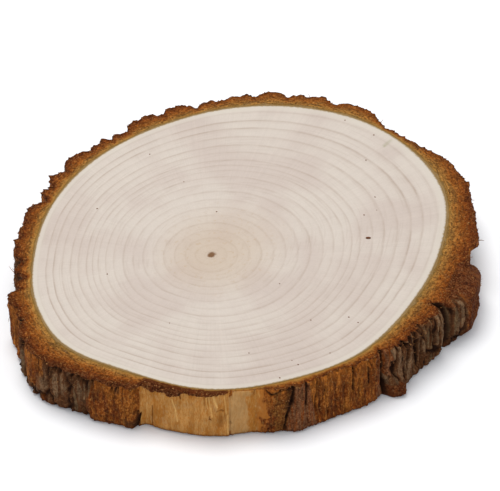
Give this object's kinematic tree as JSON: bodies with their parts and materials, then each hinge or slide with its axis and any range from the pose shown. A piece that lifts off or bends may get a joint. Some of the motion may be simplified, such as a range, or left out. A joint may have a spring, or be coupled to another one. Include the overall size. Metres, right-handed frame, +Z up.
{
  "type": "wood slice",
  "caption": "Round slice sawn across a branch: a pale wood disc with growth rings inside its own rough ring of brown bark.",
  "frame": {"origin": "middle of the slice's box, on the sawn underside that it rests on", "axes": "+Z up, out of the upper sawn face, along the branch's grain; -Y towards the front, where the bark is worn thin; +X towards the side with the swelling in the bark"},
  "size_m": [0.0964, 0.0982, 0.0115],
  "materials": {
    "wood": "pale, finely sawn and sanded end grain, matt",
    "bark": "rough, fibrous, matt"
  },
  "bodies": {
    "root": {"wood": "wood", "bark": "bark"}
  },
  "joints": []
}
